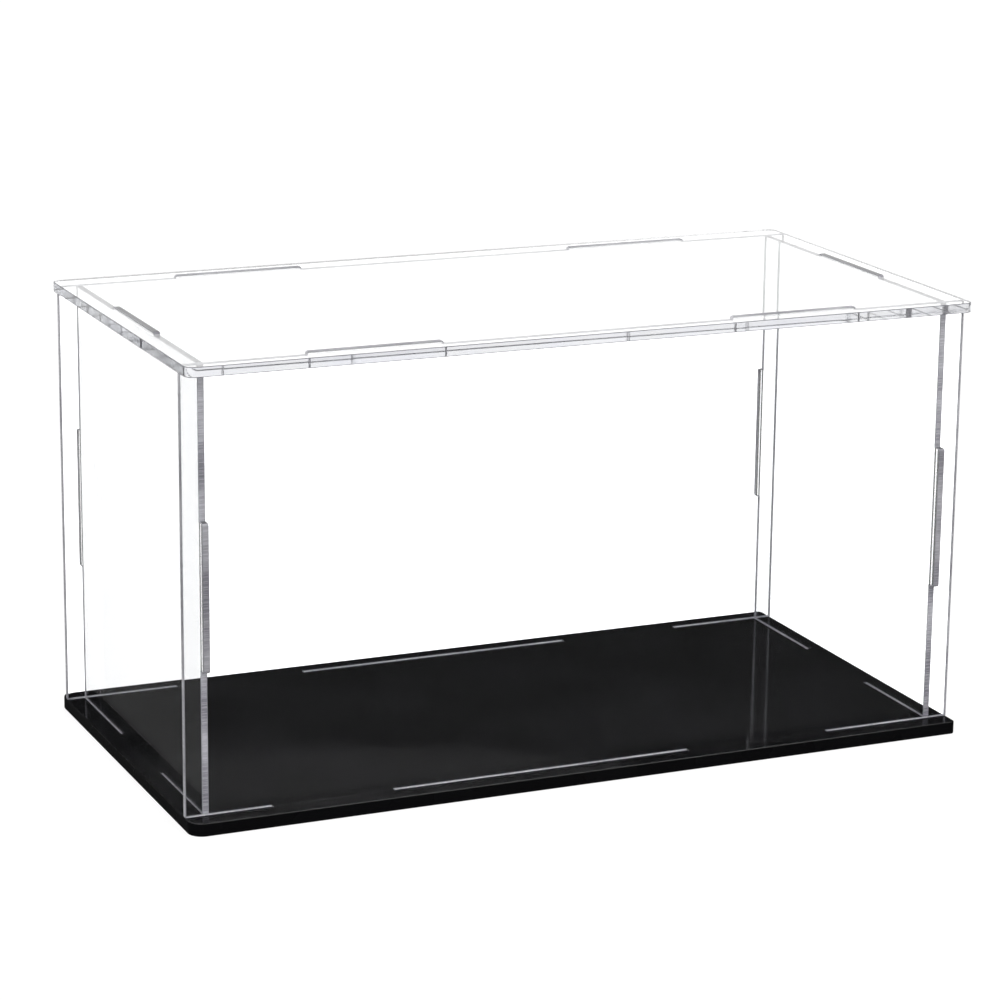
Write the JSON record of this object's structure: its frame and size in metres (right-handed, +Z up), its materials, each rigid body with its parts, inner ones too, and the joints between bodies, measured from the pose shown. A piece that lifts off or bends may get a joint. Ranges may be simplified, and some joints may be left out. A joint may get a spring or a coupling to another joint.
{
  "type": "display case",
  "caption": "Clear plug-together display case: four walls and a lid with tabs in slots, lifting off a dark base plate.",
  "frame": {"origin": "middle of the underside of the base plate, where it stands on a table", "axes": "+X along the length to the right, +Y through the depth to the back wall, +Z up"},
  "size_m": [0.25, 0.13, 0.1374],
  "materials": {
    "clear_acrylic": "polished, with laser-cut edges",
    "black_acrylic": "gloss"
  },
  "bodies": {
    "base": {"base_plate": "black_acrylic"},
    "cover": {"front_panel": "clear_acrylic", "back_panel": "clear_acrylic", "left_panel": "clear_acrylic", "right_panel": "clear_acrylic"},
    "lid": {"lid_panel": "clear_acrylic"}
  },
  "joints": [
    {"name": "cover_lift", "type": "slide", "parent": "base", "child": "cover", "axis": [0, 0, 1], "range_m": [0, 0.16]},
    {"name": "lid_lift", "type": "slide", "parent": "cover", "child": "lid", "axis": [0, 0, 1], "range_m": [0, 0.06]}
  ]
}
